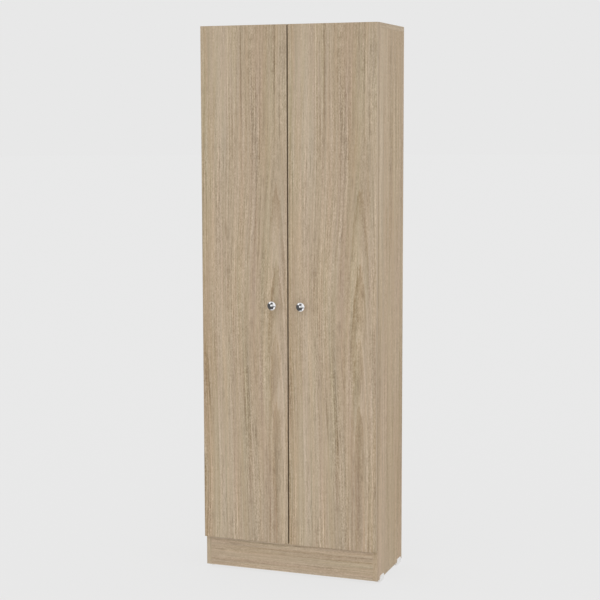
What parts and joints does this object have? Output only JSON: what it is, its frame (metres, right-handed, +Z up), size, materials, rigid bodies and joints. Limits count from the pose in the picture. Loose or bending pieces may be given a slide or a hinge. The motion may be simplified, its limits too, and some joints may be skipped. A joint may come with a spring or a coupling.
{
  "type": "broom cupboard",
  "caption": "Tall two-door cupboard with a full-height broom bay, a shelved bay, concealed hinges, round knobs, a flush plinth and low nail-on feet.",
  "frame": {"origin": "on the floor, under the middle of the whole object's box", "axes": "+X to the right seen from the front, doors and knobs face -Y, +Z up"},
  "size_m": [0.604, 0.3246, 1.8],
  "materials": {
    "oak_decor_board": "matt pale greige oak decor foil on chipboard, fine straight grain",
    "hardboard": "smooth pale face inside, raw brown hardboard behind",
    "beech": "raw beech",
    "knob_chrome": "bright chrome plate",
    "hinge_cup_nickel": "nickel-plated die-cast",
    "hinge_steel_nickel": "nickel-plated pressed steel",
    "screw_zinc": "bright zinc plate",
    "plain_steel": "bright drawn steel",
    "die_cast_zinc": "dull die-cast zinc",
    "foot_plastic": "moulded white plastic",
    "bumper_soft": "clear soft dots"
  },
  "bodies": {
    "carcass": {"adjustable_shelf_1": "oak_decor_board", "adjustable_shelf_2": "oak_decor_board", "adjustable_shelf_3": "oak_decor_board", "adjustable_shelf_4": "oak_decor_board", "back_nails": "plain_steel", "back_panel_left": "hardboard", "back_panel_right": "hardboard", "bottom_panel": "oak_decor_board", "broom_bay_shelf": "oak_decor_board", "cam_bolts": "plain_steel", "cam_locks": "die_cast_zinc", "centre_partition": "oak_decor_board", "dowels": "beech", "fixed_shelf": "oak_decor_board", "foot_nails": "plain_steel", "front_left_foot": "foot_plastic", "front_right_foot": "foot_plastic", "hinge_arm_screws": "screw_zinc", "hinge_plate_screws": "screw_zinc", "left_bottom_hinge_arm": "hinge_steel_nickel", "left_bottom_hinge_plate": "hinge_steel_nickel", "left_middle_hinge_arm": "hinge_steel_nickel", "left_middle_hinge_plate": "hinge_steel_nickel", "left_side_panel": "oak_decor_board", "left_top_hinge_arm": "hinge_steel_nickel", "left_top_hinge_plate": "hinge_steel_nickel", "plinth_board": "oak_decor_board", "rear_left_foot": "foot_plastic", "rear_right_foot": "foot_plastic", "right_bottom_hinge_arm": "hinge_steel_nickel", "right_bottom_hinge_plate": "hinge_steel_nickel", "right_middle_hinge_arm": "hinge_steel_nickel", "right_middle_hinge_plate": "hinge_steel_nickel", "right_side_panel": "oak_decor_board", "right_top_hinge_arm": "hinge_steel_nickel", "right_top_hinge_plate": "hinge_steel_nickel", "shelf_pins": "plain_steel", "top_panel": "oak_decor_board"},
    "left_door_assembly": {"left_door": "oak_decor_board", "left_knob": "knob_chrome", "left_knob_screw": "screw_zinc", "left_hinge_pins": "plain_steel", "left_cup_screws": "screw_zinc", "left_door_bumpers": "bumper_soft", "left_top_hinge_cup": "hinge_cup_nickel", "left_middle_hinge_cup": "hinge_cup_nickel", "left_bottom_hinge_cup": "hinge_cup_nickel"},
    "right_door_assembly": {"right_door": "oak_decor_board", "right_knob": "knob_chrome", "right_knob_screw": "screw_zinc", "right_hinge_pins": "plain_steel", "right_cup_screws": "screw_zinc", "right_door_bumpers": "bumper_soft", "right_top_hinge_cup": "hinge_cup_nickel", "right_middle_hinge_cup": "hinge_cup_nickel", "right_bottom_hinge_cup": "hinge_cup_nickel"}
  },
  "joints": [
    {"name": "left_door_swing", "type": "hinge", "parent": "carcass", "child": "left_door_assembly", "pos_m": [-0.2934, -0.1327, 0.9545], "axis": [0, 0, -1], "range_deg": [0, 95]},
    {"name": "right_door_swing", "type": "hinge", "parent": "carcass", "child": "right_door_assembly", "pos_m": [0.2934, -0.1327, 0.9545], "axis": [0, 0, 1], "range_deg": [0, 95]}
  ]
}
